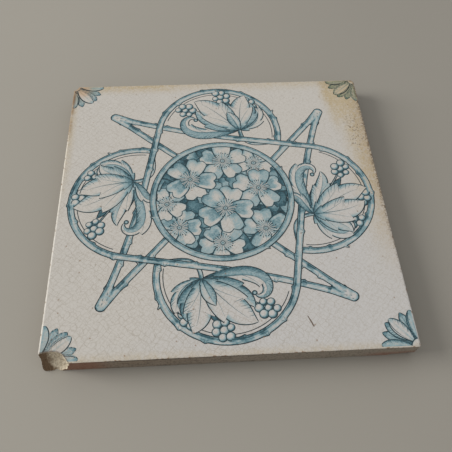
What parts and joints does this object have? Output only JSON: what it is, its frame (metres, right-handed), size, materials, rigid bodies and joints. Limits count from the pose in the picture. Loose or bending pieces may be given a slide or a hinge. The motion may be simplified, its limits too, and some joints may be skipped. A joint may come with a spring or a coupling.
{
  "type": "printed ceramic tile",
  "caption": "Square glazed ceramic plaque with an underglaze scroll and blossom print, chipped front corners and a keyed back; it lies on its back or is bedded on a wall.",
  "frame": {"origin": "middle of the back, at the height of its lands", "axes": "+Z out of the glazed face, +Y towards the edge that is furthest away in the picture, +X to its right"},
  "size_m": [0.152, 0.152, 0.01],
  "materials": {
    "clay": "matt fired clay, grimy on the sides",
    "glaze": "clear cream glaze with fine crazing",
    "dark_ink": "underglaze print, solid ground",
    "mid_ink": "underglaze print, shaded band",
    "pale_ink": "underglaze print, light wash and lines"
  },
  "bodies": {
    "root": {"clay_body": "clay", "glaze_coat": "glaze", "print_roundel_ring": "mid_ink", "print_roundel_ground": "dark_ink", "print_blossom_1": "pale_ink", "print_blossom_2": "pale_ink", "print_blossom_3": "pale_ink", "print_blossom_4": "pale_ink", "print_blossom_5": "pale_ink", "print_blossom_6": "pale_ink", "print_blossom_7": "pale_ink", "print_blossom_8": "pale_ink", "print_blossom_9": "pale_ink", "print_scroll_right": "mid_ink", "print_point_right": "mid_ink", "print_return_right": "mid_ink", "print_curl_right": "mid_ink", "print_spray_right": "pale_ink", "print_scroll_back": "mid_ink", "print_point_back": "mid_ink", "print_return_back": "mid_ink", "print_curl_back": "mid_ink", "print_spray_back": "pale_ink", "print_scroll_left": "mid_ink", "print_point_left": "mid_ink", "print_return_left": "mid_ink", "print_curl_left": "mid_ink", "print_spray_left": "pale_ink", "print_scroll_front": "mid_ink", "print_point_front": "mid_ink", "print_return_front": "mid_ink", "print_curl_front": "mid_ink", "print_spray_front": "pale_ink", "print_corner_flower_back_right": "pale_ink", "print_corner_flower_back_left": "pale_ink", "print_corner_flower_front_left": "pale_ink", "print_corner_flower_front_right": "pale_ink"}
  },
  "joints": []
}
